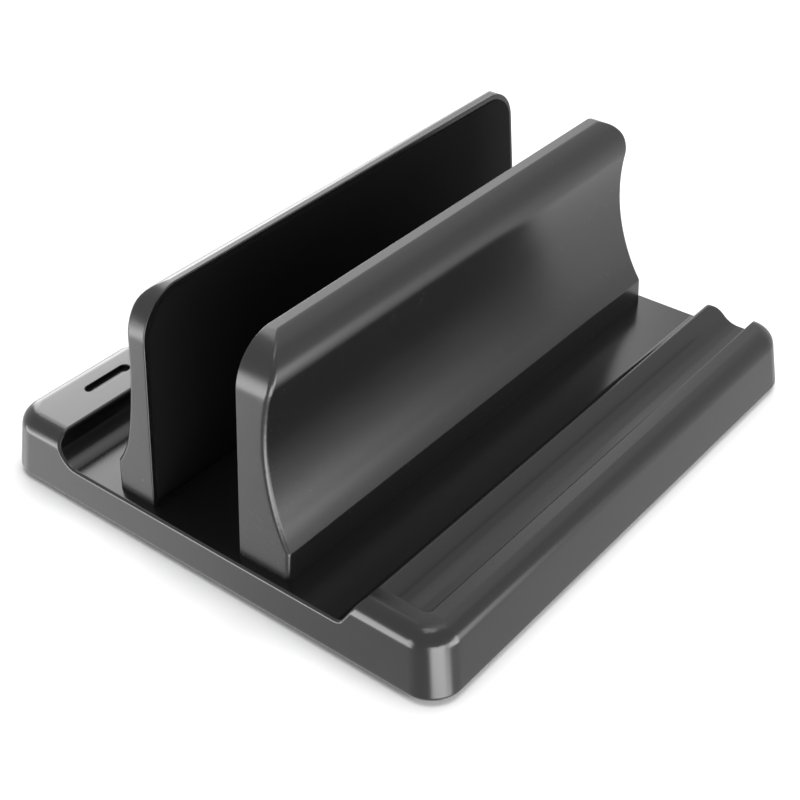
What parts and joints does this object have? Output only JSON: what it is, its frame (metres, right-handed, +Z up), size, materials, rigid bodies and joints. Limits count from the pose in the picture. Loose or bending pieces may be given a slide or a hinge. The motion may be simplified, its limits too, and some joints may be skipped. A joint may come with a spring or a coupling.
{
  "type": "vertical laptop stand",
  "caption": "Vertical laptop stand: a flat base with an adjustable pair of tall uprights that clamp a closed laptop on edge, beside a phone groove and a small ledge.",
  "frame": {"origin": "on the desk, under the middle of the base's outline", "axes": "+X across the stand towards the phone groove, +Y along the uprights away from the end with the ledge, +Z up"},
  "size_m": [0.16, 0.178, 0.0754],
  "materials": {
    "base_plastic": "smooth satin black moulding",
    "upright_plastic": "smooth satin black moulding",
    "cover_plastic": "fine matt texture",
    "liner_silicone": "matt black silicone",
    "foot_silicone": "matt black silicone",
    "insert_brass": "machined brass",
    "washer_zinc": "zinc plated",
    "screw_steel": "dark steel",
    "cover_screw_black": "black zinc"
  },
  "bodies": {
    "base": {"base_shell": "base_plastic", "bottom_cover": "cover_plastic", "cover_screws": "cover_screw_black", "left_near_foot_pad": "foot_silicone", "left_far_foot_pad": "foot_silicone", "right_near_foot_pad": "foot_silicone", "right_far_foot_pad": "foot_silicone"},
    "left_slider": {"left_upright": "upright_plastic", "left_liner": "liner_silicone", "left_near_insert": "insert_brass", "left_near_clamp_washer": "washer_zinc", "left_near_clamp_screw": "screw_steel", "left_far_insert": "insert_brass", "left_far_clamp_washer": "washer_zinc", "left_far_clamp_screw": "screw_steel"},
    "right_slider": {"right_upright": "upright_plastic", "right_liner": "liner_silicone", "right_near_insert": "insert_brass", "right_near_clamp_washer": "washer_zinc", "right_near_clamp_screw": "screw_steel", "right_far_insert": "insert_brass", "right_far_clamp_washer": "washer_zinc", "right_far_clamp_screw": "screw_steel"}
  },
  "joints": [
    {"name": "left_upright_slide", "type": "slide", "parent": "base", "child": "left_slider", "axis": [1, 0, 0], "range_m": [0, 0.009]},
    {"name": "right_upright_slide", "type": "slide", "parent": "base", "child": "right_slider", "axis": [-1, 0, 0], "range_m": [0, 0.009]}
  ]
}
